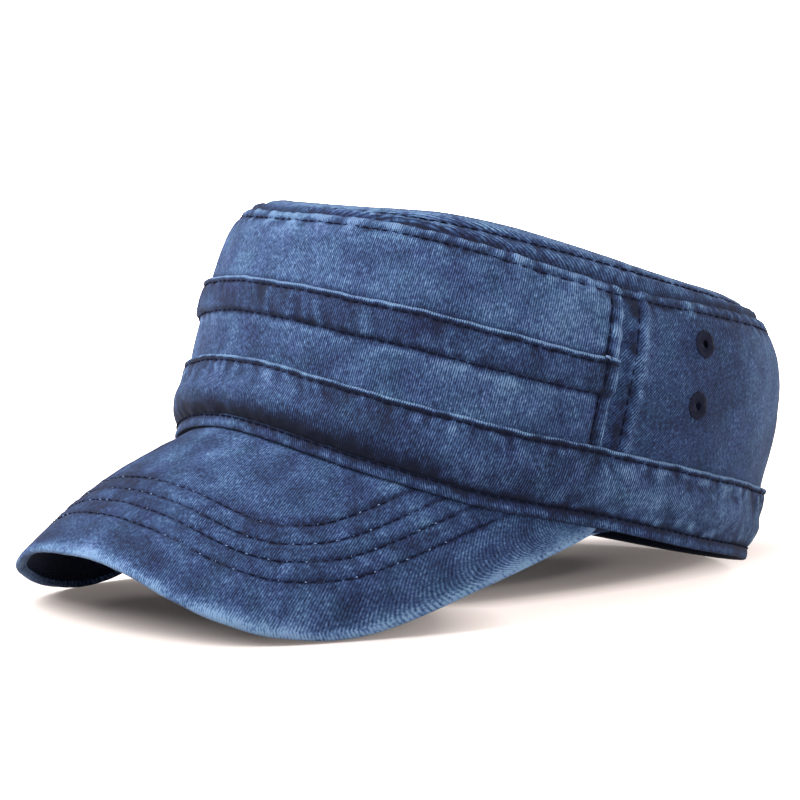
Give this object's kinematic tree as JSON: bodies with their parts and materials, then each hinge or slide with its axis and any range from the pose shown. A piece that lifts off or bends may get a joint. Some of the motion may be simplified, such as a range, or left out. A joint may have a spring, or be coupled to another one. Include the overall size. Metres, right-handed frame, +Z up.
{
  "type": "cadet cap",
  "caption": "Flat-topped cadet cap in washed blue cotton twill, with lapped front panels, a folded base band, bound air holes and a curved stitched peak.",
  "frame": {"origin": "under the middle of the cap's bounding box, on the surface that the cap rests on", "axes": "+Z up from that surface, -Y towards the peak, +Y towards the back of the head, +X towards the wearer's left; the crown leans back as the cap rests"},
  "size_m": [0.1723, 0.2678, 0.1259],
  "materials": {
    "washed_blue_twill": "washed indigo cotton twill, matte, paler where it is worn",
    "lapped_blue_twill": "washed indigo cotton twill, matte, with a pale worn fold",
    "band_blue_twill": "washed indigo cotton twill, matte, with a pale worn fold",
    "hem_navy_twill": "dark indigo cotton twill binding, matte",
    "peak_blue_twill": "washed indigo cotton twill, mottled, stitched in rows",
    "under_peak_navy_cotton": "unwashed navy cotton, matte",
    "eyelet_thread": "dark navy embroidery thread, slight sheen"
  },
  "bodies": {
    "root": {"crown_top": "washed_blue_twill", "front_panel_upper": "washed_blue_twill", "front_panel_lower": "lapped_blue_twill", "rear_panel_left": "washed_blue_twill", "rear_panel_right": "washed_blue_twill", "base_band": "band_blue_twill", "hem_binding": "hem_navy_twill", "peak_upper": "peak_blue_twill", "peak_under": "under_peak_navy_cotton", "eyelet_left_upper": "eyelet_thread", "eyelet_left_lower": "eyelet_thread", "eyelet_right_upper": "eyelet_thread", "eyelet_right_lower": "eyelet_thread"}
  },
  "joints": []
}
